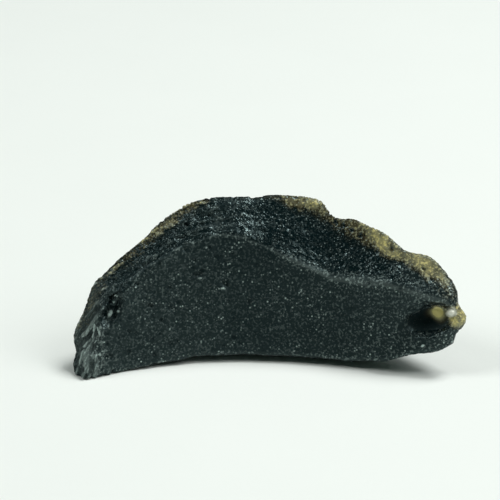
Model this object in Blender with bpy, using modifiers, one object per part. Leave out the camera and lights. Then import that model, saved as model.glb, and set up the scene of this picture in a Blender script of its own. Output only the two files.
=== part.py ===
"""Tektite: a crescent-shaped fragment of natural black glass, modelled as one solid body.

The stone lies as it rests. +X runs along its length, +Y points to its back and +Z points up. The
front is one large, gently hollow face. Above it a rough bevel leans back to a thin crest. A burst
bubble opens in the right end.

The body is a loft of closed rings that run round the view from the front: the hollow face, its
edge, the bevel, the outline and the round back. Rings have one point for each station. The
stations start at the left tip, go up the left end, along the top, down the right end and back
along the bottom. Lengths below are in millimetres, and MM turns them into metres.
"""

import math

import bmesh
import bpy
from mathutils import Euler, Vector

NAME = "tektite"
MM = 0.001

# Stations round the stone: (x, y, z) of the front face's edge, then of the outline beside it.
STATIONS = (
    ((-19.9, -6.2, -0.4), (-20.6, -5.3, -0.4)),  # left tip, on the ground
    ((-19.8, -5.8, 0.8), (-21.5, -4.0, 0.6)),
    ((-19.4, -5.4, 1.9), (-20.9, -3.4, 2.0)),  # notch in the left end
    ((-18.9, -5.0, 3.4), (-21.4, -2.9, 3.3)),
    ((-18.4, -4.5, 4.9), (-20.9, -2.4, 4.9)),
    ((-17.9, -4.1, 6.4), (-19.9, -1.7, 7.0)),
    ((-17.0, -3.4, 7.9), (-18.7, -0.7, 9.5)),
    ((-14.6, -1.9, 9.9), (-16.5, 0.5, 11.3)),
    ((-11.6, -0.4, 11.7), (-13.0, 2.0, 13.7)),
    ((-8.6, 0.7, 13.2), (-10.2, 3.4, 16.2)),
    ((-5.6, 1.3, 14.1), (-6.6, 4.5, 16.9)),  # peak of the ridge
    ((-3.0, 1.2, 13.8), (-1.5, 4.8, 17.1)),
    ((-0.6, 0.9, 12.8), (3.9, 4.7, 17.05)),  # right end of the level crest
    ((2.2, 0.3, 11.4), (5.8, 4.1, 16.3)),
    ((4.4, -0.2, 10.3), (7.4, 3.2, 15.0)),  # notch in the crest
    ((6.6, -0.7, 9.6), (8.9, 2.6, 15.1)),
    ((9.4, -1.5, 9.5), (11.1, 1.5, 14.8)),
    ((12.0, -2.3, 9.8), (12.8, 0.6, 14.1)),
    ((14.0, -2.9, 9.5), (14.4, -0.4, 12.5)),
    ((15.9, -3.4, 9.1), (16.9, -1.0, 12.5)),
    ((17.5, -3.8, 8.7), (18.7, -1.7, 11.1)),
    ((18.8, -4.0, 8.2), (20.1, -2.4, 9.4)),
    ((19.4, -4.2, 7.6), (20.0, -3.0, 7.8)),  # notch above the lip
    ((20.1, -4.5, 6.4), (21.4, -3.7, 6.0)),  # right tip, the lip of the bubble
    ((19.6, -4.8, 4.9), (19.9, -4.1, 4.5)),  # notch below the lip
    ((19.4, -4.9, 3.9), (19.9, -4.4, 3.6)),
    ((17.0, -5.0, 2.9), (17.4, -3.6, 2.6)),
    ((13.6, -4.7, 1.9), (13.2, -2.0, 1.5)),
    ((10.3, -3.8, 0.9), (10.0, 0.2, 0.0)),
    ((6.0, -2.8, 0.8), (6.0, 2.0, -0.3)),
    ((0.0, -1.8, 0.8), (-0.5, 3.2, -0.2)),
    ((-5.0, -1.8, 0.8), (-6.5, 3.3, -0.3)),
    ((-9.5, -2.3, 0.5), (-11.5, 2.3, -0.1)),
    ((-14.0, -3.5, 0.1), (-15.5, 0.2, 0.3)),
    ((-17.6, -5.0, -0.2), (-18.9, -2.5, 0.2)),
)
POINTS_PER_STATION = 2

# The hollow front face: its middle line in x and z, how far its plan curves, and how far it
# leans back as it rises.
FACE_LINE = ((-14.5, 4.4), (14.0, 6.0))
FACE_HOLLOW_X = -2.0
FACE_HOLLOW_Y = -1.9
FACE_CURVE = 0.0128
FACE_LEAN = 0.23
FACE_INSETS = (0.08, 0.3, 0.6, 0.88)
FACE_RELAXING = 12
FACE_EDGE_CREASE = 0.55

# The bevel between the ridge and the crest is scooped on the right half of the stone.
BEVEL_RINGS = (0.35, 0.7)
BEVEL_LOWEST_Z = 5.0
BEVEL_SCOOP = 0.55
BEVEL_SCOOP_X = 7.0
BEVEL_SCOOP_HALF_WIDTH = 11.0
OUTLINE_CREASE = 0.35

# The back swells from the outline to its belly, which follows a middle line.
BACK_LINE = ((-13.0, 4.6), (12.0, 6.4))
BACK_BELLY_Y = 6.4
BACK_CURVE = 0.016
BACK_RINGS = (0.07, 0.22, 0.45, 0.7, 0.9)
BACK_RELAXING = 16

# Low lumps over the whole surface.
LUMP_SIZE = 2.6
LUMP_HEIGHT = 0.5

# Round hollows: centre, half sizes and turn in degrees about Y. The burst bubble opens to the
# front. The flake scars thin the glass behind the crest, and the thumbprints dent the back.
BUBBLE = ((16.8, -4.6, 6.3), (3.1, 2.5, 1.85), -20.0)
FLAKE_SCARS = (
    ((2.4, 12.4, 14.2), (8.0, 8.0, 8.0), 0.0),  # behind the level crest
    ((14.1, 8.9, 15.0), (8.0, 8.0, 8.0), 0.0),  # behind the notch and the right shoulder
    ((22.4, 4.3, 8.2), (7.0, 7.0, 7.0), 0.0),  # behind the bubble
)
THUMBPRINTS = (
    ((-12.6, 7.4, 9.0), (3.6, 3.4, 2.6), -35.0),
    ((-4.6, 9.4, 6.6), (3.4, 3.2, 2.4), 15.0),
    ((5.6, 9.0, 4.8), (3.8, 3.4, 2.6), -10.0),
)

BALL_SEGMENTS = 32
BALL_RINGS = 20

# The stone is cut flat where it rests, at z = 0.
GROUND_BLOCK = (60.0, 40.0, 8.0)

GLASS_COLOUR = (0.012, 0.018, 0.017, 1.0)
GLASS_ROUGHNESS = 0.5


def clear_scene():
    """Remove every object from the scene."""
    for old in list(bpy.data.objects):
        bpy.data.objects.remove(old, do_unlink=True)


def new_collection(name):
    """Add a collection to the scene."""
    collection = bpy.data.collections.new(name)
    bpy.context.scene.collection.children.link(collection)
    return collection


def curve_point(before, start, end, after, share):
    """Point at a share of the way from start to end on a smooth (Catmull-Rom) curve."""
    tangent_start = (end - before) * 0.5
    tangent_end = (after - start) * 0.5
    square = share * share
    cube = square * share
    return (
        start * (2 * cube - 3 * square + 1)
        + tangent_start * (cube - 2 * square + share)
        + end * (3 * square - 2 * cube)
        + tangent_end * (cube - square)
    )


def smooth_loop(points):
    """Closed smooth curve through the points, with POINTS_PER_STATION points for each."""
    count = len(points)
    loop = []
    for index in range(count):
        corners = [points[(index + step) % count] for step in (-1, 0, 1, 2)]
        for part in range(POINTS_PER_STATION):
            loop.append(curve_point(*corners, part / POINTS_PER_STATION))
    return loop


def face_depth(x, z):
    """Depth (y) of the hollow front face: curved in plan and leaning back."""
    return FACE_HOLLOW_Y - FACE_CURVE * (x - FACE_HOLLOW_X) ** 2 + FACE_LEAN * z


def middle_of(line, x):
    """Point (x, z) of a middle line that a ring's point shrinks towards."""
    (left_x, left_z), (right_x, right_z) = line
    share = min(max((x - left_x) / (right_x - left_x), 0.0), 1.0)
    return left_x + (right_x - left_x) * share, left_z + (right_z - left_z) * share


def relaxed(ring, times):
    """Ring with its small dents evened out, as they are away from the outline."""
    for _ in range(times):
        ring = [
            (before + here * 2 + after) / 4
            for before, here, after in zip(ring[-1:] + ring[:-1], ring, ring[1:] + ring[:1])
        ]
    return ring


def face_ring(edge, inset):
    """Ring on the front face, inset by a share of the way from its edge to its middle line."""
    share = 1.0 - inset
    ring = []
    for point in relaxed(edge, round(inset * FACE_RELAXING)):
        middle_x, middle_z = middle_of(FACE_LINE, point.x)
        x = middle_x + (point.x - middle_x) * share
        z = middle_z + (point.z - middle_z) * share
        off_at_edge = point.y - face_depth(point.x, point.z)
        ring.append(Vector((x, face_depth(x, z) + off_at_edge * share ** 2, z)))
    return ring


def bevel_ring(edge, outline, share):
    """Ring on the bevel, a share of the way from the face's edge to the outline."""
    ring = []
    for inner, outer in zip(edge, outline):
        point = inner.lerp(outer, share)
        off_middle = (point.x - BEVEL_SCOOP_X) / BEVEL_SCOOP_HALF_WIDTH
        if point.z > BEVEL_LOWEST_Z and abs(off_middle) < 1.0:
            depth = BEVEL_SCOOP * math.sin(math.pi * share) * math.cos(math.pi * off_middle / 2)
            point += Vector((0.0, depth, -depth))
        ring.append(point)
    return ring


def back_ring(outline, share):
    """Ring on the round back, a share of the way from the outline to the belly."""
    swell = math.sin(share * math.pi / 2)
    ring = []
    for point in relaxed(outline, round(share * BACK_RELAXING)):
        middle_x, middle_z = middle_of(BACK_LINE, point.x)
        belly = BACK_BELLY_Y - BACK_CURVE * middle_x ** 2
        x = point.x + (middle_x - point.x) * share
        y = point.y + (belly - point.y) * swell
        z = point.z + (middle_z - point.z) * share
        ring.append(Vector((x, y, z)))
    return ring


def add_ring(mesh, points):
    """Add the points of a closed ring."""
    return [mesh.verts.new(point * MM) for point in points]


def ring_pairs(ring):
    """Neighbouring points round a closed ring."""
    return zip(ring, ring[1:] + ring[:1])


def join_rings(mesh, near, far):
    """Loft a band of faces between two rings, station to station."""
    for (near_a, near_b), (far_a, far_b) in zip(ring_pairs(near), ring_pairs(far)):
        mesh.faces.new((near_a, near_b, far_b, far_a))


def ring_edges(mesh, ring):
    """Edges round a closed ring."""
    return [mesh.edges.get(pair) for pair in ring_pairs(ring)]


def crease(mesh, ring, amount):
    """Keep a ring crisp when the cage is subdivided."""
    creases = mesh.edges.layers.float["crease_edge"]
    for edge in ring_edges(mesh, ring):
        edge[creases] = amount


def add_stone_cage(collection):
    """Loft the rings from the middle of the front face, round the outline, to the belly."""
    edge = smooth_loop([Vector(front) for front, _ in STATIONS])
    outline = smooth_loop([Vector(outer) for _, outer in STATIONS])
    mesh = bmesh.new()
    mesh.edges.layers.float.new("crease_edge")
    face = [add_ring(mesh, face_ring(edge, inset)) for inset in reversed(FACE_INSETS)]
    edge_ring = add_ring(mesh, edge)
    bevel = [add_ring(mesh, bevel_ring(edge, outline, share)) for share in BEVEL_RINGS]
    outline_ring = add_ring(mesh, outline)
    back = [add_ring(mesh, back_ring(outline, share)) for share in BACK_RINGS]
    rings = [*face, edge_ring, *bevel, outline_ring, *back]
    for near, far in zip(rings, rings[1:]):
        join_rings(mesh, near, far)
    for end_ring in (rings[0], rings[-1]):
        bmesh.ops.triangle_fill(mesh, use_beauty=True, edges=ring_edges(mesh, end_ring))
    crease(mesh, edge_ring, FACE_EDGE_CREASE)
    crease(mesh, outline_ring, OUTLINE_CREASE)
    bmesh.ops.recalc_face_normals(mesh, faces=mesh.faces)
    data = bpy.data.meshes.new(NAME)
    mesh.to_mesh(data)
    mesh.free()
    data.shade_smooth()
    stone = bpy.data.objects.new(NAME, data)
    collection.objects.link(stone)
    return stone


def round_the_cage(stone):
    """Subdivide the cage and raise low lumps on it."""
    smooth = stone.modifiers.new("smooth", "SUBSURF")
    smooth.levels = 1
    smooth.render_levels = 1
    clouds = bpy.data.textures.new("lumps", "CLOUDS")
    clouds.noise_scale = LUMP_SIZE * MM
    clouds.noise_depth = 0
    lumps = stone.modifiers.new("lumps", "DISPLACE")
    lumps.texture = clouds
    lumps.texture_coords = "LOCAL"
    lumps.strength = LUMP_HEIGHT * MM
    lumps.mid_level = 0.5


def as_cutter(cutter, name, collection):
    """Name a cutter, show it as wire and keep it out of the part."""
    cutter.name = name
    cutter.display_type = "WIRE"
    cutter.hide_render = True
    for holder in list(cutter.users_collection):
        holder.objects.unlink(cutter)
    collection.objects.link(cutter)
    return cutter


def add_hollow(name, shape, collection):
    """Ball cutter, stretched and turned."""
    centre, half_sizes, turn = shape
    bpy.ops.mesh.primitive_uv_sphere_add(segments=BALL_SEGMENTS, ring_count=BALL_RINGS, radius=1.0)
    ball = bpy.context.active_object
    ball.location = Vector(centre) * MM
    ball.rotation_euler = Euler((0.0, math.radians(turn), 0.0))
    ball.scale = Vector(half_sizes) * MM
    ball.data.shade_smooth()
    return as_cutter(ball, name, collection)


def add_ground_block(collection):
    """Box cutter whose top is the ground, which leaves the flat feet."""
    bpy.ops.mesh.primitive_cube_add(size=1.0)
    block = bpy.context.active_object
    block.scale = Vector(GROUND_BLOCK) * MM
    block.location = Vector((0.0, 0.0, -GROUND_BLOCK[2] / 2)) * MM
    return as_cutter(block, "ground", collection)


def cut(stone, cutter):
    """Take the cutter's shape away from the stone."""
    step = stone.modifiers.new(cutter.name, "BOOLEAN")
    step.operation = "DIFFERENCE"
    step.solver = "EXACT"
    step.object = cutter


def black_glass():
    """Near-black natural glass with a dull skin."""
    material = bpy.data.materials.new("black_glass")
    material.use_nodes = True
    shader = material.node_tree.nodes["Principled BSDF"]
    shader.inputs["Base Color"].default_value = GLASS_COLOUR
    shader.inputs["Roughness"].default_value = GLASS_ROUGHNESS
    shader.inputs["Metallic"].default_value = 0.0
    return material


def centre_on_origin(frame, stone):
    """Move everything so that the stone's lowest face is at z = 0, centred over the origin."""
    bpy.context.view_layer.update()
    shape = stone.evaluated_get(bpy.context.evaluated_depsgraph_get()).to_mesh()
    places = [stone.matrix_world @ vertex.co for vertex in shape.vertices]
    low = Vector([min(place[axis] for place in places) for axis in range(3)])
    high = Vector([max(place[axis] for place in places) for axis in range(3)])
    frame.location = Vector((-(low.x + high.x) / 2, -(low.y + high.y) / 2, -low.z))


def build():
    """Make the stone."""
    clear_scene()
    parts = new_collection(NAME)
    cutters = new_collection("cutters")
    stone = add_stone_cage(parts)
    round_the_cage(stone)
    stone.data.materials.append(black_glass())
    hollows = [add_hollow("bubble", BUBBLE, cutters)]
    hollows.extend(add_hollow("flake_scar", scar, cutters) for scar in FLAKE_SCARS)
    hollows.extend(add_hollow("thumbprint", dent, cutters) for dent in THUMBPRINTS)
    hollows.append(add_ground_block(cutters))
    frame = bpy.data.objects.new("stone_frame", None)
    parts.objects.link(frame)
    stone.parent = frame
    for cutter in hollows:
        cut(stone, cutter)
        cutter.parent = frame
    centre_on_origin(frame, stone)
    bpy.context.view_layer.update()


build()
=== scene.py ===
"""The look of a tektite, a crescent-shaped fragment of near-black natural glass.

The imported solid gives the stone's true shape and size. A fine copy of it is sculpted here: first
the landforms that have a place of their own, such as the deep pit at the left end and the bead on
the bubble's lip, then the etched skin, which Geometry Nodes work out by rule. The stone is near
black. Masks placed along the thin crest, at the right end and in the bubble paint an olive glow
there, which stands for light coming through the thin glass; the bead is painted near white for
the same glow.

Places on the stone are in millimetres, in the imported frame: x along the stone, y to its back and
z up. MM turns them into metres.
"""

from __future__ import annotations

import logging
import math
from collections.abc import Iterable
from dataclasses import asdict, dataclass
from enum import Enum
from functools import cache, cached_property

import bmesh
import bpy
import numpy as np
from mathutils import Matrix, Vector

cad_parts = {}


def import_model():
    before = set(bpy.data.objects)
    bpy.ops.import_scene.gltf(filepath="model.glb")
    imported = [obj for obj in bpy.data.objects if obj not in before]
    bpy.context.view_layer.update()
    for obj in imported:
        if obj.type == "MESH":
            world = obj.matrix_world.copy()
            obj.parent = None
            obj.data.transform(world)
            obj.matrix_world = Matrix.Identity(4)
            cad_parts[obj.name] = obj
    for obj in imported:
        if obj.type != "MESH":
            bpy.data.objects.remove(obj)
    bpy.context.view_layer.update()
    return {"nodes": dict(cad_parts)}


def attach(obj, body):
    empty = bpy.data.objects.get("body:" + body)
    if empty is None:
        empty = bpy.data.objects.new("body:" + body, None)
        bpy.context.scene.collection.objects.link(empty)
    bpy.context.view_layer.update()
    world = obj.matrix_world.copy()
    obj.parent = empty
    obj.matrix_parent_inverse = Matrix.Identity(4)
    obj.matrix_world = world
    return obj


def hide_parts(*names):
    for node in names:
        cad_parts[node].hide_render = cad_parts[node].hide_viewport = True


MM = 0.001
PIECE = "tektite"
BODY = "root"
SLOT = "black_glass"

Colour = tuple[float, float, float, float]
Place = tuple[float, float, float]
Node = bpy.types.Node
NodeTree = bpy.types.NodeTree
Socket = bpy.types.NodeSocket

log = logging.getLogger(PIECE)


class Mask(Enum):
    """Point attributes that tell the skin and the finish what lies where.

    They go from 0 to 1, but DEPTH, the glass's thickness under a point, is in millimetres, and
    ALONG is a place in metres, unrolled along the crescent.
    """

    FACE = "face"
    FLOW = "flow_lines"
    FROST = "frost"
    # Painted glow: the next mask marks where an olive glow is painted for light coming through thin
    # glass.
    OLIVE = "olive"
    # The next mask marks the bead, which the finish paints near white for the glow of light through
    # it.
    PEARL = "pearl"
    PEBBLES = "pebbles"
    # The next mask marks the bubble's cavity, where the finish paints shade by fading the pale
    # marks.
    BUBBLE = "bubble"
    HOLLOW = "hollow"
    DEPTH = "glass_depth"
    ALONG = "along_crescent"


class Graph:
    """Adds nodes to one node tree and links them."""

    def __init__(self, tree: NodeTree) -> None:
        """Take the tree to add to.

        Args:
            tree: a shader or geometry node tree.
        """
        self.tree = tree

    def add(self, kind: str, **settings: object) -> Node:
        """Add a node.

        Args:
            kind: Blender's name for the node type.
            **settings: properties of the node, by name.

        Returns:
            The new node.
        """
        node = self.tree.nodes.new(kind)
        for name, value in settings.items():
            setattr(node, name, value)
        return node

    def feed(self, socket: Socket, value: object) -> None:
        """Link an input to an output, or set its plain value.

        Args:
            socket: the input to fill.
            value: an output socket, or a number, text, colour or vector.
        """
        if isinstance(value, Socket):
            self.tree.links.new(value, socket)
        else:
            socket.default_value = value

    def fill(self, node: Node, **values: object) -> Node:
        """Fill inputs of a node by name, with _ for a space.

        Args:
            node: the node to fill.
            **values: what each input gets.

        Returns:
            The same node.
        """
        for name, value in values.items():
            self.feed(node.inputs[name.replace("_", " ")], value)
        return node

    def math(self, operation: str, *values: object, clamp: bool = False) -> Socket:
        """Work out a number with a Math node.

        Args:
            operation: Blender's name for the operation.
            *values: sockets or numbers, in order.
            clamp: keep the result between 0 and 1.

        Returns:
            The result's socket.
        """
        node = self.add("ShaderNodeMath", operation=operation, use_clamp=clamp)
        for socket, value in zip(node.inputs, values):
            self.feed(socket, value)
        return node.outputs["Value"]

    def times(self, first: object, second: object) -> Socket:
        """Multiply two numbers."""
        return self.math("MULTIPLY", first, second)

    def vector(self, operation: str, first: object, second: object) -> Socket:
        """Work out a vector with a Vector Math node.

        Args:
            operation: Blender's name for the operation.
            first: the first vector.
            second: the second vector, or the factor of SCALE.

        Returns:
            The result's socket.
        """
        node = self.add("ShaderNodeVectorMath", operation=operation)
        self.feed(node.inputs[0], first)
        self.feed(node.inputs["Scale"] if operation == "SCALE" else node.inputs[1], second)
        return node.outputs["Vector"]

    def ramp(
        self, value: object, start: float, end: float, low: float = 0.0, high: float = 1.0,
    ) -> Socket:
        """Pass smoothly from one level to another as a value goes from start to end.

        Args:
            value: the socket that changes.
            start: value where the result is low.
            end: value where the result is high.
            low: result at the start.
            high: result at the end.

        Returns:
            The result's socket.
        """
        node = self.add("ShaderNodeMapRange", interpolation_type="SMOOTHSTEP")
        self.fill(node, Value=value, From_Min=start, From_Max=end, To_Min=low, To_Max=high)
        return node.outputs["Result"]

    def blend(self, share: object, start: object, end: object) -> Socket:
        """Mix two colours.

        Args:
            share: how much of the second colour, from 0 to 1.
            start: the first colour.
            end: the second colour.

        Returns:
            The mixed colour's socket.
        """
        node = self.add("ShaderNodeMix", data_type="RGBA", clamp_factor=True)
        self.feed(node.inputs[0], share)
        self.feed(node.inputs[6], start)
        self.feed(node.inputs[7], end)
        return node.outputs[2]

    def noise(self, vector: object, scale: object, detail: float) -> Socket:
        """Sample a soft noise.

        Args:
            vector: where to sample.
            scale: bumps per unit of the vector.
            detail: how many finer layers are added.

        Returns:
            The noise, near 0 to 1.
        """
        node = self.add("ShaderNodeTexNoise", noise_dimensions="3D")
        self.fill(node, Vector=vector, Scale=scale, Detail=detail)
        return node.outputs[0]

    def cells(self, vector: object, scale: object, seed: object = 0.0) -> Node:
        """Sample round cells of uneven size.

        Args:
            vector: where to sample.
            scale: cells per unit of the vector.
            seed: shifts the cells, in units of the vector.

        Returns:
            The node, with Distance from the cell's middle and Color, a random one for each cell.
        """
        shifted = self.vector("ADD", vector, seed)
        node = self.add("ShaderNodeTexVoronoi", voronoi_dimensions="3D", feature="F1")
        return self.fill(node, Vector=shifted, Scale=scale)


def eased(value: np.ndarray, start: float, end: float) -> np.ndarray:
    """Smooth step from 0 at start to 1 at end, for an array.

    Args:
        value: the numbers to map.
        start: value where the result is 0.
        end: value where the result is 1.

    Returns:
        The eased numbers.
    """
    share = np.clip((value - start) / (end - start), 0.0, 1.0)
    return share * share * (3.0 - 2.0 * share)


def read_off(x: np.ndarray, points: tuple[tuple[float, ...], ...], column: int = 1) -> np.ndarray:
    """Read a value off a line of points.

    Args:
        x: where to read it.
        points: rows that start with x, from left to right.
        column: which number of the rows to read.

    Returns:
        One value for each x.
    """
    knots = np.array(points)
    return np.interp(x, knots[:, 0], knots[:, column])


class Surface:
    """A mesh as arrays in millimetres: places, normals and neighbours of its points."""

    def __init__(self, mesh: bpy.types.Mesh) -> None:
        """Read a mesh.

        Args:
            mesh: the mesh, in metres.
        """
        self.mesh = mesh
        self.count = len(mesh.vertices)
        self.places = self.read(mesh.vertices, "co") / MM
        self.normals = self.read(mesh.vertices, "normal")
        ends = np.empty(len(mesh.edges) * 2, dtype=np.int64)
        mesh.edges.foreach_get("vertices", ends)
        self.starts = np.concatenate([ends[0::2], ends[1::2]])
        self.ends = np.concatenate([ends[1::2], ends[0::2]])
        self.neighbours = np.bincount(self.starts, minlength=self.count)

    def read(self, points: bpy.types.MeshVertices, name: str) -> np.ndarray:
        """Read a vector of every point.

        Args:
            points: the mesh's points.
            name: which vector.

        Returns:
            One row for each point.
        """
        values = np.empty(self.count * 3)
        points.foreach_get(name, values)
        return values.reshape(-1, 3)

    def averaged(self, values: np.ndarray, passes: int = 1) -> np.ndarray:
        """Take each point's value as the mean of its neighbours', again and again.

        Args:
            values: one row for each point.
            passes: how often.

        Returns:
            The averaged values.
        """
        for _ in range(passes):
            columns = [
                np.bincount(self.starts, values[self.ends, column], self.count)
                for column in range(values.shape[1])
            ]
            values = np.stack(columns, axis=1) / self.neighbours[:, None]
        return values

    def smooth(self, share: np.ndarray, passes: int) -> None:
        """Even the surface out.

        Args:
            share: how much each point follows its neighbours, from 0 to 1.
            passes: how often.
        """
        for _ in range(passes):
            self.places += (self.averaged(self.places) - self.places) * share[:, None]

    def broad_normals(self, passes: int) -> np.ndarray:
        """Work out the normals of the broad form.

        Args:
            passes: how many rings of neighbours count.

        Returns:
            One unit vector for each point.
        """
        broad = self.averaged(self.normals, passes)
        return broad / np.linalg.norm(broad, axis=1)[:, None]

    def write(self) -> None:
        """Put the places back into the mesh."""
        self.mesh.vertices.foreach_set("co", (self.places * MM).ravel())
        self.mesh.update()
        self.normals = self.read(self.mesh.vertices, "normal")

    def store(self, mask: Mask, values: np.ndarray) -> None:
        """Write a mask as a point attribute.

        Args:
            mask: which one.
            values: one number for each point.
        """
        attribute = self.mesh.attributes.new(mask.value, "FLOAT", "POINT")
        attribute.data.foreach_set("value", np.clip(values, 0.0, 1.0))


@dataclass(frozen=True)
class Spot:
    """An oval place on the stone's front.

    Its sizes are measured in the upright plane along x, and turn is its long axis's rise from
    +x, in degrees.
    """

    place: Place
    half_length: float
    half_width: float
    turn: float = 0.0

    def reach(self, surface: Surface) -> np.ndarray:
        """Work out how near each point is.

        Args:
            surface: the stone's surface.

        Returns:
            1 in the middle of the oval, easing to 0 at its edge.
        """
        offset = surface.places - np.array(self.place)
        turn = math.radians(self.turn)
        along = offset[:, 0] * math.cos(turn) + offset[:, 2] * math.sin(turn)
        across = offset[:, 2] * math.cos(turn) - offset[:, 0] * math.sin(turn)
        deep = offset[:, 1] / (self.half_length + self.half_width + 0.8)
        along /= self.half_length
        across /= self.half_width
        return eased(np.sqrt(along**2 + across**2 + deep**2), 1.0, 0.0)


@dataclass(frozen=True)
class Landform:
    """A hollow or mound with a place of its own, and how frosted it is."""

    name: str
    spot: Spot
    height: float
    frost: float = 0.0

    def raise_points(self, surface: Surface) -> np.ndarray:
        """Move the surface out, or in where the height is negative.

        Args:
            surface: the stone's surface.

        Returns:
            How near each point is, from 0 to 1.
        """
        reach = self.spot.reach(surface)
        surface.places += surface.normals * (np.sqrt(reach) * self.height)[:, None]
        return reach


@dataclass(frozen=True)
class Bead:
    """A round drop of glass that stands out of the surface."""

    middle: Place
    radius: float
    out: Place = (0.0, -0.906, 0.423)
    root: float = 1.3

    def swell(self, surface: Surface) -> np.ndarray:
        """Draw the surface behind the drop out to its round cap.

        Args:
            surface: the stone's surface.

        Returns:
            1 on the drop, easing to 0 just outside it.
        """
        out = np.array(self.out)
        offset = surface.places - np.array(self.middle)
        height = offset @ out
        aside = np.linalg.norm(offset - height[:, None] * out, axis=1) / self.radius
        near = np.abs(height) < self.root
        cap = self.radius * np.sqrt(np.clip(1.0 - aside**2, 0.0, 1.0))
        drawn = near & (aside < 1.0) & (height < cap)
        surface.places[drawn] += (cap - height)[drawn, None] * out
        return near * eased(aside, 1.2, 0.95)


@dataclass(frozen=True)
class Stain:
    """A patch where a mask is raised to an amount, or lowered to it."""

    name: str
    mask: Mask
    spot: Spot
    amount: float
    softness: float = 0.5


# Lines on the stone, as (x, height) points. BRIM is the upper outline as it looks from in front
# and above, with its heights taken square to that view.
RIDGE = (
    (-19.8, -0.4), (-18.8, 3.4), (-17.8, 6.4), (-14.5, 9.9), (-11.5, 11.7), (-8.5, 13.1),
    (-5.6, 13.9), (-2.9, 13.7), (2.3, 11.4), (6.7, 9.6), (9.5, 9.5), (12.1, 9.8), (16.0, 9.1),
    (18.9, 8.2), (20.2, 6.4),
)
SILL = (
    (-19.8, -0.4), (-14.0, 0.1), (-9.4, 0.5), (-4.9, 0.8), (10.4, 0.9), (13.7, 1.9), (19.5, 3.9),
)
BRIM = (
    (-19.8, 4.7), (-18.5, 7.7), (-17.2, 9.7), (-13.4, 12.6), (-9.5, 16.0), (-7.0, 16.9),
    (-1.8, 17.2), (4.6, 17.1), (8.4, 14.4), (9.7, 14.4), (12.3, 13.3), (14.9, 11.1), (17.4, 10.2),
    (18.7, 9.2), (20.0, 7.0),
)

# The painted olive glow of light through the thin rim under BRIM, as (x, width, level) points.
BRIM_GLOW = (
    (-19.8, 1.8, 0.86), (-14.0, 2.0, 0.84), (-10.0, 2.2, 0.84), (-7.0, 1.3, 0.68),
    (-5.5, 0.3, 0.20), (0.5, 0.8, 0.30), (3.0, 2.4, 0.60), (5.5, 2.4, 0.64), (8.0, 2.8, 0.52),
    (10.0, 3.4, 0.64), (12.5, 3.8, 0.72), (15.0, 3.0, 0.80), (17.0, 3.0, 0.92),
    (18.7, 3.0, 0.66), (20.0, 2.4, 0.50),
)

# Values that change along the stone, as (x, value) points.
FACE_SOFTNESS = ((-15.0, 1.6), (-9.0, 0.5))
RIGHT_FROST = ((-4.0, 0.0), (2.0, 0.10), (10.0, 0.12), (15.0, 0.25))
RIDGE_FROST = ((-15.0, 0.3), (-9.0, 0.42), (-6.0, 0.56))
RIDGE_WIDTH = (
    (-15.0, 1.4), (-10.0, 1.0), (-8.0, 0.3), (-1.0, 0.3), (4.0, 0.7), (9.0, 1.0), (14.0, 0.9),
)

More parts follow.
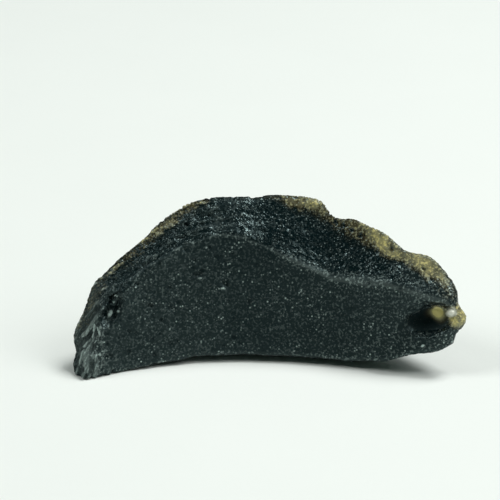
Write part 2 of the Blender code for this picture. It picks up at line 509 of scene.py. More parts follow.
LANDFORMS = (
    Landform("end_pit", Spot((-16.75, -3.5, 7.2), 2.1, 1.05, 66.0), -1.35),
    Landform("end_groove", Spot((-16.7, -3.0, 8.6), 1.7, 0.45, 58.0), -0.40),
    Landform("grain_top", Spot((-16.3, -2.7, 8.3), 0.32, 0.26, 30.0), 0.10, 1.0),
    Landform("grain_middle", Spot((-16.7, -2.7, 7.5), 0.36, 0.30, 20.0), 0.14, 1.0),
    Landform("grain_low", Spot((-17.1, -3.0, 6.45), 0.66, 0.50, 50.0), 0.34, 1.0),
    Landform("grain_side", Spot((-16.15, -3.0, 6.75), 0.28, 0.24), 0.10, 1.0),
    Landform("streak_left", Spot((-18.8, -4.1, 5.0), 1.50, 0.32, 80.0), 0.16, 1.0),
    Landform("streak_right", Spot((-18.2, -4.2, 5.1), 1.00, 0.28, 110.0), 0.14, 1.0),
    Landform("streak_fork", Spot((-18.55, -4.5, 4.0), 0.65, 0.24, 55.0), 0.12, 0.95),
    Landform("chevron_left", Spot((-18.5, -5.05, 2.55), 0.40, 0.24, 50.0), 0.10, 1.0),
    Landform("chevron_right", Spot((-18.1, -5.0, 2.6), 0.40, 0.24, -35.0), 0.10, 1.0),
    Landform("small_pit", Spot((-17.05, -4.45, 2.3), 0.45, 0.32), -0.22),
    Landform("crest_corner", Spot((5.2, 4.6, 16.2), 1.8, 1.3, -30.0), 0.35),
    Landform("end_shoulder", Spot((19.4, -2.8, 8.6), 1.3, 0.9, -60.0), 0.30),
    Landform("gully", Spot((-5.6, 2.3, 14.9), 1.5, 0.9, 75.0), -0.15, 0.35),
    Landform("crest_chip_left", Spot((-7.6, 2.7, 15.4), 0.24, 0.18, 20.0), 0.05, 0.9),
    Landform("crest_chip_right", Spot((-2.9, 3.1, 15.5), 0.24, 0.20, 60.0), 0.05, 0.9),
    Landform("bevel_chip", Spot((3.4, 1.0, 12.0), 0.30, 0.16, -20.0), 0.05, 0.8),
    Landform("face_chip_high", Spot((-6.65, 0.6, 12.6), 0.20, 0.17), 0.05, 0.95),
    Landform("face_chip_low", Spot((-10.7, -2.1, 4.2), 0.25, 0.18, 80.0), 0.05, 0.95),
    Landform("face_chip_sill", Spot((-5.1, -1.4, 3.7), 0.20, 0.17), 0.05, 0.9),
    # The next three are small raised marks whose white frost paints glints on the lower lip of the
    # bubble.
    Landform("cup_glint", Spot((16.4, -4.95, 3.6), 0.42, 0.24, 25.0), 0.10, 1.0),
    Landform("cup_glint_left", Spot((15.95, -4.8, 3.95), 0.22, 0.18), 0.06, 1.0),
    Landform("cup_glint_right", Spot((19.5, -5.05, 4.1), 0.24, 0.20), 0.08, 1.0),
    Landform("face_pit", Spot((-4.75, -0.15, 8.75), 0.75, 0.32, -38.0), -0.40),
    Landform("face_pit_rim", Spot((-4.95, -0.2, 8.2), 0.60, 0.26, -10.0), 0.08, 0.88),
    Landform("face_ring_pit", Spot((-7.5, -0.15, 9.9), 0.50, 0.38), -0.28),
    Landform("face_ring_rim", Spot((-7.4, -0.2, 9.4), 0.45, 0.24, 10.0), 0.06, 0.84),
    Landform("face_low_pit", Spot((-2.15, -0.45, 6.8), 0.45, 0.32), -0.28),
    Landform("face_left_pit", Spot((-10.3, -1.4, 6.35), 0.42, 0.30), -0.26),
    Landform("face_far_pit", Spot((-12.75, -2.1, 7.05), 0.40, 0.30), -0.26),
    Landform("bubble_brow", Spot((15.7, -3.0, 7.1), 1.5, 0.6, 25.0), 0.45),
    Landform("bubble_swell", Spot((18.1, -2.6, 6.75), 1.1, 1.3, 10.0), 0.50),
)

LIP_BEAD = Bead((19.4, -3.95, 7.1), 0.50)

STAINS = (
    # These two stains paint shade: they clear the frost, so that the deep pit and the bubble's
    # cavity stay black.
    Stain("pit_painted_shade", Mask.FROST, Spot((-16.8, -3.5, 7.3), 2.4, 1.15, 66.0), 0.0),
    Stain("bubble_painted_shade", Mask.FROST, Spot((16.9, -3.3, 5.6), 3.2, 1.5, 8.0), 0.0),
    Stain("cup_slope", Mask.FROST, Spot((18.7, -4.8, 4.6), 1.6, 0.8, 40.0), 0.48),
    Stain("clear_lip", Mask.FROST, Spot((20.0, -4.0, 6.7), 1.5, 1.9), 0.05),
    # The stains on the olive mask paint the glow of light through the thin glass; the one on the
    # dark band lowers it.
    Stain("crest_glow", Mask.OLIVE, Spot((4.4, 4.4, 16.3), 2.0, 1.0, -25.0), 0.75, 1.0),
    Stain("shoulder_glow", Mask.OLIVE, Spot((12.0, 1.0, 13.3), 2.6, 1.1, -50.0), 0.92, 1.0),
    Stain("shoulder_glow_tail", Mask.OLIVE, Spot((13.2, -0.2, 12.4), 2.2, 0.8, -20.0), 0.80, 1.0),
    Stain("end_glow", Mask.OLIVE, Spot((16.6, -1.8, 11.2), 1.8, 0.8, -28.0), 0.88, 1.0),
    Stain("dark_band", Mask.OLIVE, Spot((14.6, -1.6, 10.9), 2.8, 0.6, -22.0), 0.1),
    Stain("lip_glow", Mask.OLIVE, Spot((20.2, -4.0, 6.7), 1.7, 2.1), 0.92),
    Stain("bubble_amber_glow", Mask.OLIVE, Spot((17.8, -2.7, 6.5), 2.2, 1.2, 15.0), 0.52, 1.0),
    Stain("window_glow", Mask.OLIVE, Spot((18.15, -2.6, 6.7), 1.35, 1.7, 10.0), 1.0, 0.7),
)


@dataclass
class StoneMesh:
    """The stone's fine mesh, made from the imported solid."""

    subdivisions: int = 2
    voxel: float = 0.15
    rounding_passes: int = 6
    face_margin: float = 0.9
    face_passes: int = 260
    bevel_passes: int = 45
    bubble_passes: int = 30
    plump: float = 0.25
    tilt: float = 25.0
    sill_rise: float = 0.35
    sill_width: float = 0.28
    left_frost: float = 0.65
    pebble_frost: float = 0.10
    sill_frost: float = 0.5
    least_olive: float = 0.12
    bubble: Spot = Spot((16.8, -3.2, 5.75), 3.0, 1.6, 10.0)
    bubble_mouth: Spot = Spot((17.3, -3.6, 6.0), 3.6, 2.3, 15.0)
    clear_glass: Spot = Spot((17.1, -3.0, 5.9), 2.9, 1.3, 14.0)

    def build(self, solid: bpy.types.Object) -> bpy.types.Object:
        """Make the piece, without its skin and material.

        Args:
            solid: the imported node, which isn't changed.

        Returns:
            The new piece.
        """
        piece = self.fine_copy(solid)
        surface = Surface(piece.data)
        tilt = math.radians(self.tilt)
        front = surface.broad_normals(24) @ np.array((0.0, -math.cos(tilt), math.sin(tilt)))
        front = eased(front, 0.0, 0.3)
        surface.places += surface.normals * self.plump * np.maximum(surface.normals[:, 2:], 0.0)
        self.even_front(surface, front)
        self.sculpt(surface, front)
        surface.write()
        return piece

    def fine_copy(self, solid: bpy.types.Object) -> bpy.types.Object:
        """Copy the solid as an even mesh of small quads, with its facets rounded.

        Args:
            solid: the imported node.

        Returns:
            The new piece.
        """
        data = solid.data.copy()
        mesh = bmesh.new()
        mesh.from_mesh(data)
        bmesh.ops.remove_doubles(mesh, verts=mesh.verts, dist=1e-6)
        mesh.to_mesh(data)
        mesh.free()
        data.materials.clear()
        piece = bpy.data.objects.new(PIECE + "_glass", data)
        bpy.context.scene.collection.objects.link(piece)
        rounded = piece.modifiers.new("rounded", "SUBSURF")
        rounded.levels = self.subdivisions
        rounded.render_levels = self.subdivisions
        even = piece.modifiers.new("even", "REMESH")
        even.mode = "VOXEL"
        even.voxel_size = self.voxel * MM
        smooth = piece.modifiers.new("smooth", "SMOOTH")
        smooth.factor = 0.5
        smooth.iterations = self.rounding_passes
        make_plain(piece)
        return piece

    def above_line(
        self, surface: Surface, line: tuple[tuple[float, float], ...], tilt: float = 0.0,
    ) -> np.ndarray:
        """Work out how far each point is above a line drawn on the front, in millimetres.

        Args:
            surface: the stone's surface.
            line: (x, height) points, from left to right.
            tilt: how far the heights' direction leans back from +z, in degrees.

        Returns:
            One distance for each point, measured square to the line.
        """
        x = surface.places[:, 0]
        knots = np.array(line)
        lean = math.radians(tilt)
        heights = surface.places @ np.array((0.0, math.sin(lean), math.cos(lean)))
        slope = np.interp(x, knots[:, 0], np.gradient(knots[:, 1], knots[:, 0]))
        return (heights - read_off(x, line)) / np.sqrt(1.0 + slope**2)

    def brim_glow(self, surface: Surface) -> np.ndarray:
        """Work out the painted olive glow of the thin glass along the upper outline.

        Args:
            surface: the stone's surface.

        Returns:
            One number for each point, fading downwards from the outline.
        """
        x = surface.places[:, 0]
        share = self.above_line(surface, BRIM, self.tilt) / read_off(x, BRIM_GLOW)
        return read_off(x, BRIM_GLOW, 2) * eased(share, -1.2, 0.0)

    def even_front(self, surface: Surface, front: np.ndarray) -> None:
        """Store the face's mask, and even out the lumps of the hollow face and the high bevel.

        Args:
            surface: the stone's surface.
            front: 1 where the surface looks to the front.
        """
        above_ridge = self.above_line(surface, RIDGE)
        inside = np.minimum(-above_ridge, self.above_line(surface, SILL))
        x = surface.places[:, 0]
        solid = 1.0 - eased(self.bubble_mouth.reach(surface), 0.1, 0.3)
        face = front * eased(inside / read_off(x, FACE_SOFTNESS), -0.2, 1.0) * solid
        surface.store(Mask.FACE, face)
        high = front * eased(above_ridge, 0.3, 1.0) * eased(np.abs(x + 3.0), 8.0, 5.0)
        surface.smooth(face * eased(inside, 0.3, self.face_margin), self.face_passes)
        surface.smooth(high, self.bevel_passes)
        surface.smooth(eased(self.bubble.reach(surface), 0.1, 0.4), self.bubble_passes)
        surface.write()

    def stained(self, surface: Surface, mask: Mask, level: np.ndarray) -> np.ndarray:
        """Lay the stains of one mask over its level.

        Args:
            surface: the stone's surface.
            mask: which mask.
            level: its values without the stains.

        Returns:
            Its values with them.
        """
        for stain in STAINS:
            if stain.mask is mask:
                share = eased(stain.spot.reach(surface), 0.0, stain.softness)
                log.debug("%s covers %d points", stain.name, np.count_nonzero(share))
                level = level + (stain.amount - level) * share
        return level

    def sculpt(self, surface: Surface, front: np.ndarray) -> None:
        """Raise the landforms and store the masks that go with them.

        Args:
            surface: the stone's surface.
            front: 1 where the surface looks to the front.
        """
        x = surface.places[:, 0]
        above_ridge = self.above_line(surface, RIDGE)
        left_end = front * eased(x, -15.8, -19.0)
        pebbles = front * eased(x, 2.0, -12.0)
        right_half = front * read_off(x, RIGHT_FROST)
        right_half *= np.maximum(eased(above_ridge, 0.6, -0.2), eased(x, 12.0, 15.0))
        off_ridge = np.abs(above_ridge) / read_off(x, RIDGE_WIDTH)
        ridge = front * read_off(x, RIDGE_FROST) * eased(off_ridge, 1.0, 0.2)
        off_sill = np.abs(self.above_line(surface, SILL) - self.sill_rise)
        sill = self.sill_frost * front * eased(off_sill, self.sill_width, 0.05)
        left = self.left_frost * left_end
        frost = np.maximum.reduce([left, self.pebble_frost * pebbles, right_half, ridge, sill])
        frost = self.stained(surface, Mask.FROST, frost)
        flow = np.maximum(left_end, front * eased(x, -3.0, -8.0) * eased(above_ridge, -0.3, 0.8))
        surface.store(Mask.FLOW, flow)
        surface.store(Mask.PEBBLES, pebbles)
        surface.store(Mask.BUBBLE, front * eased(self.clear_glass.reach(surface), 0.0, 0.3))
        # Painted glow: this mask marks where the olive glow of light through thin glass is painted.
        olive = np.maximum(self.brim_glow(surface), self.least_olive)
        surface.store(Mask.OLIVE, self.stained(surface, Mask.OLIVE, olive))
        for landform in LANDFORMS:
            reach = landform.raise_points(surface)
            log.debug("%s moves %d points", landform.name, np.count_nonzero(reach))
            frost = np.maximum(frost, landform.frost * eased(reach, 0.1, 0.6))
        surface.store(Mask.FROST, frost)
        # The bead's mask: the finish paints it near white for the glow of light through it, and
        # makes it glossy.
        surface.store(Mask.PEARL, LIP_BEAD.swell(surface))


def make_plain(piece: bpy.types.Object) -> None:
    """Turn a piece and its modifiers into a plain mesh.

    Args:
        piece: the object to change.
    """
    graph = bpy.context.evaluated_depsgraph_get()
    result = bpy.data.meshes.new_from_object(piece.evaluated_get(graph))
    piece.modifiers.clear()
    piece.data = result
    result.shade_smooth()


class SkinTree(Graph):
    """The Geometry Nodes tree that etches the skin and keeps what the finish reads."""

    def __init__(self, inputs: Iterable[str]) -> None:
        """Start the tree.

        Args:
            inputs: names of its number inputs.
        """
        super().__init__(bpy.data.node_groups.new("etched_skin", "GeometryNodeTree"))
        sockets = self.tree.interface
        sockets.new_socket("Geometry", in_out="INPUT", socket_type="NodeSocketGeometry")
        for name in inputs:
            sockets.new_socket(name, in_out="INPUT", socket_type="NodeSocketFloat")
        sockets.new_socket("Geometry", in_out="OUTPUT", socket_type="NodeSocketGeometry")
        self.given = self.add("NodeGroupInput")
        self.place = self.add("GeometryNodeInputPosition").outputs["Position"]
        self.normal = self.add("GeometryNodeInputNormal").outputs["Normal"]
        self.unrolled = self.unroll()

    def mask(self, mask: Mask) -> Socket:
        """Read a mask of the mesh."""
        node = self.add("GeometryNodeInputNamedAttribute", data_type="FLOAT")
        return self.fill(node, Name=mask.value).outputs["Attribute"]

    def keep(self, mesh: Socket, mask: Mask, value: Socket, kind: str = "FLOAT") -> Socket:
        """Write a mask onto the mesh.

        Args:
            mesh: the mesh.
            mask: which mask.
            value: its value.
            kind: Blender's name for the kind of value.

        Returns:
            The mesh with the mask.
        """
        node = self.add("GeometryNodeStoreNamedAttribute", data_type=kind, domain="POINT")
        return self.fill(node, Geometry=mesh, Name=mask.value, Value=value).outputs["Geometry"]

    def unroll(self) -> Socket:
        """Unroll the crescent, so that a pattern stretched along x follows its outline.

        Returns:
            (length along the arc / stretch, y, distance from the arc's middle).
        """
        parts = self.fill(self.add("ShaderNodeSeparateXYZ"), Vector=self.place)
        x = self.math("SUBTRACT", parts.outputs["X"], self.given.outputs["Arc Middle X"])
        z = self.math("SUBTRACT", parts.outputs["Z"], self.given.outputs["Arc Middle Z"])
        radius = self.math("SQRT", self.math("MULTIPLY_ADD", x, x, self.times(z, z)))
        length = self.times(self.math("ARCTAN2", x, z), radius)
        length = self.math("DIVIDE", length, self.given.outputs["Stretch"])
        joined = self.add("ShaderNodeCombineXYZ")
        return self.fill(joined, X=length, Y=parts.outputs["Y"], Z=radius).outputs["Vector"]

    def thickness(self) -> Socket:
        """Measure how much glass lies straight under a point.

        Returns:
            The thickness in millimetres, evened out over the neighbours.
        """
        down = self.vector("SCALE", self.normal, -1.0)
        start = self.vector("ADD", self.place, self.vector("SCALE", down, 0.01 * MM))
        ray = self.add("GeometryNodeRaycast", data_type="FLOAT")
        self.fill(
            ray, Target_Geometry=self.given.outputs["Geometry"], Source_Position=start,
            Ray_Direction=down, Ray_Length=self.given.outputs["Deepest"],
        )
        blur = self.add("GeometryNodeBlurAttribute", data_type="FLOAT")
        self.fill(blur, Value=self.math("DIVIDE", ray.outputs["Hit Distance"], MM), Iterations=8)
        return blur.outputs["Value"]

    def per_length(self, spacing: str) -> Socket:
        """Turn a spacing of the tree's inputs into a texture scale."""
        return self.math("DIVIDE", 1.0, self.given.outputs[spacing])

    def pits(self, face: Socket) -> Socket:
        """Lay round pits of uneven size over the surface, shallower on the face.

        Args:
            face: 1 on the hollow face.

        Returns:
            Their depth, from 0 to 1 or a little more.
        """
        cells = self.cells(self.place, self.per_length("Pit Spacing"), self.given.outputs["Seed"])
        lot = self.fill(self.add("ShaderNodeSeparateXYZ"), Vector=cells.outputs["Color"])
        size = lot.outputs["X"]
        reach = self.math("MULTIPLY_ADD", size, 0.4, 0.15)
        pit = self.ramp(self.math("DIVIDE", cells.outputs["Distance"], reach), 1.0, 0.0)
        share = self.math("ADD", self.mask(Mask.PEBBLES), self.ramp(face, 0.0, 1.0, 1.0, 0.65))
        return self.times(self.times(pit, size), share)

    def grooves(self, face: Socket) -> Socket:
        """Lay grooves along the crescent, which are faint where the flow mask is 0.

        Args:
            face: 1 on the hollow face.

        Returns:
            Their depth, from 0 to 1.
        """
        noise = self.noise(self.unrolled, self.per_length("Groove Spacing"), 2.0)
        share = self.math("MULTIPLY_ADD", self.mask(Mask.FLOW), 0.92, 0.08)
        share = self.times(share, self.ramp(face, 0.0, 1.0, 1.0, 0.25))
        return self.times(self.ramp(noise, 0.32, 0.68, 1.0, 0.0), share)

    def grain(self, face: Socket) -> Socket:
        """Lay a soft grain over the surface, and return its depth, from 0 to 1."""
        noise = self.noise(self.place, self.per_length("Grain Spacing"), 1.0)
        return self.times(self.ramp(noise, 0.3, 0.7, 1.0, 0.0), self.ramp(face, 0.0, 1.0, 1.0, 0.6))

    def depth(self) -> Socket:
        """Add up how deep the pits, the flow grooves and the grain are.

        Returns:
            The depth in metres.
        """
        face = self.mask(Mask.FACE)
        sizes = self.given.outputs
        depth = self.times(self.pits(face), sizes["Pit Depth"])
        depth = self.math("MULTIPLY_ADD", self.grooves(face), sizes["Groove Depth"], depth)
        depth = self.math("MULTIPLY_ADD", self.grain(face), sizes["Grain Depth"], depth)
        return self.times(depth, self.ramp(self.mask(Mask.BUBBLE), 0.0, 1.0, 1.0, 0.15))

    def build(self, material: bpy.types.Material) -> NodeTree:
        """Etch the mesh, keep the masks and set the material.

        Args:
            material: the finish that it sets.

        Returns:
            The tree.
        """
        depth = self.depth()
        inward = self.vector("SCALE", self.normal, self.times(depth, -1.0))
        hollow = self.math("DIVIDE", depth, self.given.outputs["Groove Depth"])
        mesh = self.keep(self.given.outputs["Geometry"], Mask.HOLLOW, hollow)
        mesh = self.keep(mesh, Mask.DEPTH, self.thickness())
        mesh = self.keep(mesh, Mask.ALONG, self.unrolled, "FLOAT_VECTOR")
        moved = self.fill(self.add("GeometryNodeSetPosition"), Geometry=mesh, Offset=inward)
        real = self.add("GeometryNodeRealizeInstances")
        self.fill(real, Geometry=moved.outputs["Geometry"])
        dressed = self.add("GeometryNodeSetMaterial")
        self.fill(dressed, Geometry=real.outputs["Geometry"], Material=material)
        self.fill(self.add("NodeGroupOutput"), Geometry=dressed.outputs["Geometry"])
        return self.tree


@dataclass
class EtchedSkin:
    """Pits and flow lines that a Geometry Nodes tree etches into the whole surface."""

    pit_spacing: float = 0.85
    pit_depth: float = 0.18
    groove_spacing: float = 0.58
    groove_depth: float = 0.30
    grain_spacing: float = 0.42
    grain_depth: float = 0.06
    arc_middle_x: float = 0.0
    arc_middle_z: float = -5.0
    deepest: float = 12.0
    stretch: float = 6.0
    seed: float = 3.0

    def inputs(self) -> dict[str, float]:
        """Name the tree's inputs after the fields.

        Returns:
            Their values, in metres where they are lengths.
        """
        plain = ("stretch", "seed")
        return {
            name.replace("_", " ").title(): value if name in plain else value * MM
            for name, value in asdict(self).items()
        }

    def etch(self, piece: bpy.types.Object, material: bpy.types.Material) -> None:
        """Etch a piece and give it its material.

        Args:
            piece: the stone's fine mesh.
            material: its finish.
        """
        values = self.inputs()
        tree = SkinTree(values).build(material)
        modifier = piece.modifiers.new("etched_skin", "NODES")
        modifier.node_group = tree
        for item in tree.interface.items_tree:
            if item.name in values:
                modifier[item.identifier] = values[item.name]
        make_plain(piece)


class EffectGroups:
    """Shader node groups that are used more than once, each built once."""

    def __init__(self) -> None:
        """Build the groups."""
        self.grain = self.build_grain()
        self.specks = self.build_specks()

    def start(
        self, name: str, numbers: tuple[str, ...], output: str,
    ) -> tuple[Graph, Node, Node, Socket]:
        """Start a group that works in round cells.

        Args:
            name: the group's name.
            numbers: names of its number inputs, which hold Spacing, in millimetres, and Seed.
            output: name of its one number.

        Returns:
            Its graph, its Group Input, its cells and their number per metre.
        """
        tree = bpy.data.node_groups.new(name, "ShaderNodeTree")
        tree.interface.new_socket("Vector", in_out="INPUT", socket_type="NodeSocketVector")
        for number in numbers:
            tree.interface.new_socket(number, in_out="INPUT", socket_type="NodeSocketFloat")
        tree.interface.new_socket(output, in_out="OUTPUT", socket_type="NodeSocketFloat")
        graph = Graph(tree)
        given = graph.add("NodeGroupInput")
        scale = graph.math("DIVIDE", 1.0 / MM, given.outputs["Spacing"])
        cells = graph.cells(given.outputs["Vector"], scale, given.outputs["Seed"])
        return graph, given, cells, scale

    def build_grain(self) -> NodeTree:
        """Build the fine relief: round etch pits of one spacing over a soft grain.

        Returns:
            The group, whose Height is in millimetres.
        """
        numbers = ("Spacing", "Pits", "Grain", "Seed")
        graph, given, cells, scale = self.start("etched_grain", numbers, "Height")
        bowl = graph.ramp(cells.outputs["Distance"], 0.55, 0.05, 0.0, -1.0)
        soft = graph.noise(given.outputs["Vector"], graph.times(scale, 1.3), 1.0)
        height = graph.times(bowl, given.outputs["Pits"])
        height = graph.math("MULTIPLY_ADD", soft, given.outputs["Grain"], height)
        graph.fill(graph.add("NodeGroupOutput"), Height=height)
        return graph.tree

    def build_specks(self) -> NodeTree:
        """Build scattered small specks.

        Returns:
            The group, whose Mask is 1 in a speck.
        """
        numbers = ("Spacing", "Share", "Seed")
        graph, given, cells, _ = self.start("scattered_specks", numbers, "Mask")
        lot = graph.fill(graph.add("ShaderNodeSeparateXYZ"), Vector=cells.outputs["Color"])
        chosen = graph.math("LESS_THAN", lot.outputs["X"], given.outputs["Share"])
        spot = graph.ramp(cells.outputs["Distance"], 0.5, 0.15)
        bright = graph.times(spot, graph.math("POWER", lot.outputs["Y"], 2.0))
        graph.fill(graph.add("NodeGroupOutput"), Mask=graph.times(bright, chosen))
        return graph.tree


class Finish(Graph):
    """A material, with the tools that the materials share."""

    name: str

    def __init__(self, groups: EffectGroups) -> None:
        """Start the material.

        Args:
            groups: the shared effects.
        """
        self.material = bpy.data.materials.new(self.name)
        self.material.use_nodes = True
        super().__init__(self.material.node_tree)
        self.shader = self.tree.nodes["Principled BSDF"]
        self.groups = groups
        self.place = self.add("ShaderNodeTexCoord").outputs["Object"]

    @cache
    def mask(self, mask: Mask) -> Socket:
        """Read a mask of the piece."""
        return self.add("ShaderNodeAttribute", attribute_name=mask.value).outputs["Fac"]

    def effect(self, tree: NodeTree, **values: object) -> Socket:
        """Place an effect group.

        Args:
            tree: the group.
            **values: what each of its inputs gets.

        Returns:
            Its output.
        """
        node = self.add("ShaderNodeGroup", node_tree=tree)
        return self.fill(node, Vector=self.place, **values).outputs[0]

    def bump(self, height: Socket) -> None:
        """Lead a relief to the shader's normal.

        Args:
            height: its height in millimetres.
        """
        node = self.add("ShaderNodeBump")
        self.fill(node, Height=height, Distance=MM, Strength=1.0)
        self.feed(self.shader.inputs["Normal"], node.outputs["Normal"])


class BlackGlass(Finish):
    """Finish of the stone: etched natural glass, near black, with a painted olive glow where its
    mask says so.
    """

    name: str = SLOT
    deep: Colour = (0.003, 0.010, 0.012, 1.0)
    # The next three colours paint the glow of light through thin glass, from dim to bright.
    amber: Colour = (0.14, 0.105, 0.04, 1.0)
    olive: Colour = (0.25, 0.245, 0.15, 1.0)
    straw: Colour = (1.0, 0.87, 0.34, 1.0)
    # The next colour is the pale frosted glass; it also paints the glints, the partly painted
    # specks and the light on the pebble tops.
    frosted: Colour = (0.60, 0.74, 0.70, 1.0)
    # The next colour paints the near-white glow of light through the bead.
    pearl: Colour = (1.0, 1.0, 0.85, 1.0)
    transmission: float = 0.28
    ior: float = 1.5
    specular: float = 0.18
    specular_tint: Colour = (0.72, 1.0, 1.0, 1.0)
    coat_roughness: float = 0.42
    coat_ior: float = 1.7
    volume_colour: Colour = (0.60, 0.62, 0.35, 1.0)
    volume_density: float = 2700.0
    patch_scale: float = 1100.0
    grit_scale: float = 4000.0
    streak_scale: float = 4600.0
    mottle_scale: float = 2000.0
    cluster_scale: float = 350.0

    def build(self) -> bpy.types.Material:
        """Build the material.

        Returns:
            The material.
        """
        pearl = self.mask(Mask.PEARL)
        thin = self.thinness()
        colour = self.blend(self.whiteness(thin), self.glass(thin), self.frosted)
        self.fill(
            self.shader, Base_Color=self.blend(pearl, colour, self.pearl),
            Roughness=self.roughness(), Coat_Weight=pearl,
            Coat_Roughness=self.coat_roughness, Coat_IOR=self.coat_ior,
            Transmission_Weight=self.transmission, IOR=self.ior,
            Specular_IOR_Level=self.specular, Specular_Tint=self.specular_tint,
        )
        self.bump(self.relief())
        volume = self.add("ShaderNodeVolumeAbsorption")
        self.fill(volume, Color=self.volume_colour, Density=self.volume_density)
        output = self.tree.nodes["Material Output"]
        self.fill(output, Volume=volume.outputs["Volume"])
        return self.material

    @cached_property
    def patches(self) -> Socket:
        """Give soft patches about a millimetre across."""
        return self.noise(self.place, self.patch_scale, 2.0)

    @cached_property
    def grit(self) -> Socket:
        """Give fine grit."""
        return self.ramp(self.noise(self.place, self.grit_scale, 2.0), 0.52, 0.62)

    @cached_property
    def tips(self) -> Socket:
        """Give 1 on the high points of the etched skin and 0 in its hollows."""
        return self.ramp(self.mask(Mask.HOLLOW), 0.55, 0.1)

    @cached_property
    def streaks(self) -> Socket:
        """Give thin streaks along the crescent, where the flow mask allows them.

        Returns:
            The streaks, from 0 to 1.
        """
        along = self.add("ShaderNodeAttribute", attribute_name=Mask.ALONG.value)
        streaks = self.noise(along.outputs["Vector"], self.streak_scale, 2.0)
        return self.times(self.mask(Mask.FLOW), self.ramp(streaks, 0.46, 0.60))

    def thinness(self) -> Socket:
        """Work out how thin the glass looks, which sets the painted glow.

        Returns:
            About 0 where it looks thick and 1 or more where it looks thin.
        """
        olive = self.mask(Mask.OLIVE)
        clear = self.ramp(self.mask(Mask.DEPTH), 6.0, 0.5, 0.7, 1.0)
        thin = self.times(olive, clear)
        uneven = self.math("MULTIPLY_ADD", self.patches, 0.6, -0.42)
        uneven = self.math("MULTIPLY_ADD", self.grit, 0.25, uneven)
        # Painted shade: the glow is dimmer in the hollows of the etched skin.
        uneven = self.math("ADD", uneven, self.ramp(self.tips, 0.0, 1.0, -0.25, 0.0))
        uneven = self.times(uneven, self.ramp(self.mask(Mask.BUBBLE), 0.0, 1.0, 1.0, 0.2))
        thin = self.math("MULTIPLY_ADD", uneven, self.ramp(olive, 0.15, 0.4), thin)
        return self.math("ADD", thin, self.ramp(olive, 0.9, 1.0, 0.0, 0.55))

    def glass(self, thin: Socket) -> Socket:
        """Paint the clean glass: near black, then an amber, olive and straw glow as it looks
        thinner.

        Args:
            thin: how thin the glass looks.

        Returns:
            The colour.
        """
        glow = self.blend(self.ramp(thin, 0.3, 0.6), self.amber, self.olive)
        glow = self.blend(self.ramp(thin, 0.5, 1.15), glow, self.straw)
        return self.blend(self.ramp(thin, 0.12, 0.72), self.deep, glow)

    def whiteness(self, thin: Socket) -> Socket:
        """Work out where frosting, specks and painted light make the glass pale.

        Args:
            thin: how thin the glass looks.

        Returns:
            How pale it is, from 0 to 1.
        """
        face = self.mask(Mask.FACE)
        frost = self.mask(Mask.FROST)
        high = self.ramp(self.tips, 0.0, 1.0, 0.2, 1.0)
        grain = self.times(self.streaks, 0.6)
        grain = self.math("MULTIPLY_ADD", self.grit, 0.75, grain, clamp=True)
        grain = self.times(grain, high)
        fill = self.times(self.ramp(frost, 0.5, 0.65, 0.06, 0.60), high)
        fill = self.times(fill, self.math("ADD", self.streaks, 0.75))
        broken = self.times(grain, self.ramp(self.patches, 0.4, 0.6, 0.4, 1.0))
        white = self.times(frost, self.math("MAXIMUM", fill, broken))
        white = self.math("MAXIMUM", white, self.ramp(frost, 0.7, 0.95))

        # Painted light: the pebbly skin is paler on its tops than in its pits, as light and shade
        # would make it.
        mottle = self.noise(self.place, self.mottle_scale, 1.0)
        painted_tip_light = self.ramp(self.mask(Mask.HOLLOW), 0.35, 0.1, 0.0, 0.022)
        painted_tip_light = self.times(self.mask(Mask.PEBBLES), painted_tip_light)
        painted_tip_light = self.times(painted_tip_light, self.ramp(mottle, 0.42, 0.62, 0.2, 1.0))
        white = self.math("ADD", white, self.math("MULTIPLY_ADD", grain, 0.06, painted_tip_light))

        clusters = self.noise(self.place, self.cluster_scale, 1.0)
        clusters = self.ramp(clusters, 0.4, 0.65, 0.15, 1.0)
        # Specks: pale grain tips of the frosted skin, and partly painted highlights of tiny facets.
        specks = self.effect(self.groups.specks, Spacing=0.24, Share=0.3, Seed=0.01)
        specks = self.times(specks, self.ramp(face, 0.0, 0.4, 0.2, 1.3))
        white = self.math("MULTIPLY_ADD", specks, clusters, white)
        # Glints: painted highlights of tiny facets on the glossy bevel.
        glints = self.effect(self.groups.specks, Spacing=0.20, Share=0.4, Seed=0.02)
        glints = self.times(glints, self.ramp(face, 0.0, 0.4, 0.45, 0.0))
        white = self.math("ADD", white, glints)
        # Painted shade: the pale marks fade almost to nothing in the bubble's cavity.
        white = self.times(white, self.ramp(self.mask(Mask.BUBBLE), 0.0, 1.0, 1.0, 0.1))
        return self.math("MULTIPLY", white, self.ramp(thin, 0.5, 0.9, 1.0, 0.3), clamp=True)

    def roughness(self) -> Socket:
        """Work out how dull the glass is.

        Returns:
            The roughness.
        """
        rough = self.ramp(self.mask(Mask.FACE), 0.0, 1.0, 0.14, 0.45)
        frosted = self.ramp(self.mask(Mask.FROST), 0.1, 0.6, 0.14, 0.5)
        rough = self.math("MAXIMUM", rough, frosted)
        bubble = self.ramp(self.mask(Mask.BUBBLE), 0.0, 1.0, 0.14, 0.8)
        rough = self.math("MAXIMUM", rough, bubble)
        polished = self.ramp(self.mask(Mask.PEARL), 0.0, 1.0, 1.0, 0.25)
        return self.math("MINIMUM", rough, polished)

    def relief(self) -> Socket:
        """Work out the relief that is too fine for the mesh.

        Returns:
            Its height in millimetres.
        """
        frost = self.mask(Mask.FROST)
        share = self.ramp(self.mask(Mask.BUBBLE), 0.0, 1.0, 0.35, 0.1)
        share = self.math("ADD", share, self.ramp(frost, 0.5, 0.65, 0.0, 0.4))
        share = self.times(share, self.ramp(self.mask(Mask.PEARL), 0.0, 1.0, 1.0, 0.1))
        grain = self.effect(self.groups.grain, Spacing=0.28, Pits=0.06, Grain=0.075, Seed=0.01)
        lines = self.times(self.streaks, self.ramp(frost, 0.3, 0.6, 0.05, 0.2))
        return self.math("MULTIPLY_ADD", grain, share, lines)


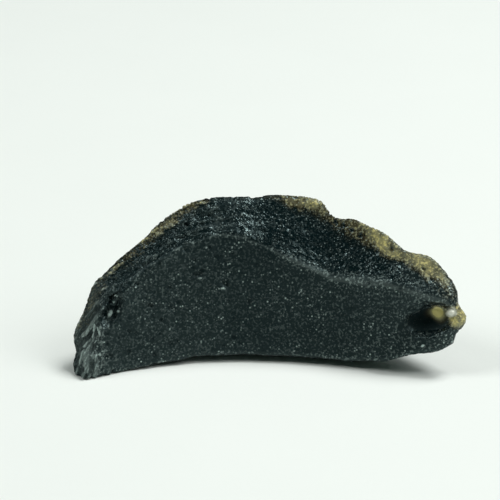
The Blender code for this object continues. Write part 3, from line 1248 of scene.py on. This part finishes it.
class PaleFloor(Finish):
    """Finish of the floor: matt white card."""

    name: str = "white_card"
    light: Colour = (0.81, 0.84, 0.815, 1.0)
    dark: Colour = (0.79, 0.82, 0.795, 1.0)
    mottle_scale: float = 60.0
    roughness: float = 0.9

    def build(self) -> bpy.types.Material:
        """Build the material.

        Returns:
            The material.
        """
        tooth = self.effect(self.groups.grain, Spacing=0.8, Pits=0.003, Grain=0.01, Seed=0.03)
        mottle = self.noise(self.place, self.mottle_scale, 2.0)
        colour = self.blend(mottle, self.light, self.dark)
        self.fill(self.shader, Base_Color=colour, Roughness=self.roughness)
        self.bump(tooth)
        return self.material


@dataclass(frozen=True)
class SoftLight:
    """A square soft light that looks at the stone."""

    name: str
    place: Place
    width: float
    power: float
    colour: tuple[float, float, float] = (0.99, 1.0, 0.985)

    def build(self, aim: Vector) -> None:
        """Add the light.

        Args:
            aim: the point it faces.
        """
        data = bpy.data.lights.new(self.name, "AREA")
        data.shape = "SQUARE"
        data.size = self.width
        data.energy = self.power
        data.color = self.colour
        light = bpy.data.objects.new(self.name, data)
        light.location = self.place
        light.rotation_euler = (aim - light.location).to_track_quat("-Z", "Y").to_euler()
        bpy.context.scene.collection.objects.link(light)


@dataclass
class Studio:
    """The pale floor, the soft lights and the camera."""

    aim: Place = (-2.04, -0.13, 12.65)
    elevation: float = 25.0
    distance: float = 250.0
    frame_width: float = 53.5
    sensor: float = 36.0
    floor_width: float = 1.2
    world: Colour = (0.68, 1.0, 0.84, 1.0)
    world_strength: float = 0.07
    lights: tuple[SoftLight, ...] = (
        SoftLight("top_light", (-0.02, 0.04, 0.60), 0.30, 0.25),
        SoftLight("key_light", (0.235, 0.10, 0.575), 0.20, 2.7),
        SoftLight("left_light", (-0.42, -0.06, 0.42), 0.20, 1.05),
        SoftLight("low_right_light", (0.41, -0.11, 0.43), 0.34, 1.2),
    )

    def build(self, groups: EffectGroups) -> None:
        """Add everything that isn't part of the stone.

        Args:
            groups: the shared effects.
        """
        self.add_floor(groups)
        for light in self.lights:
            light.build(Vector(self.aim) * MM)
        self.add_world()
        self.add_camera()

    def add_floor(self, groups: EffectGroups) -> None:
        """Add the floor.

        Args:
            groups: the shared effects.
        """
        half = self.floor_width / 2
        corners = [(-half, -half, 0.0), (half, -half, 0.0), (half, half, 0.0), (-half, half, 0.0)]
        data = bpy.data.meshes.new("floor")
        data.from_pydata(corners, [], [(0, 1, 2, 3)])
        data.materials.append(PaleFloor(groups).build())
        floor = bpy.data.objects.new("floor", data)
        bpy.context.scene.collection.objects.link(floor)

    def add_world(self) -> None:
        """Light everything a little from all round."""
        world = bpy.data.worlds.new("soft_room")
        world.use_nodes = True
        background = world.node_tree.nodes["Background"]
        background.inputs["Color"].default_value = self.world
        background.inputs["Strength"].default_value = self.world_strength
        bpy.context.scene.world = world
        bpy.context.scene.view_settings.view_transform = "Standard"

    def add_camera(self) -> None:
        """Add the camera, which looks down on the front of the stone."""
        data = bpy.data.cameras.new("camera")
        data.sensor_width = self.sensor
        data.lens = self.sensor * self.distance / self.frame_width
        data.clip_start = 0.01
        camera = bpy.data.objects.new("camera", data)
        tilt = math.radians(self.elevation)
        back = Vector((0.0, -math.cos(tilt), math.sin(tilt))) * self.distance
        camera.location = (Vector(self.aim) + back) * MM
        camera.rotation_euler = (-back).to_track_quat("-Z", "Y").to_euler()
        bpy.context.scene.collection.objects.link(camera)
        bpy.context.scene.camera = camera


def main() -> None:
    """Build the stone and the studio."""
    logging.basicConfig(level=logging.INFO, format="%(name)s: %(message)s")
    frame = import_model()
    groups = EffectGroups()
    Studio().build(groups)
    piece = StoneMesh().build(frame["nodes"][PIECE])
    EtchedSkin().etch(piece, BlackGlass(groups).build())
    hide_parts(PIECE)
    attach(piece, BODY)
    log.info("%s has %d faces", piece.name, len(piece.data.polygons))


if __name__ == "__main__":
    main()
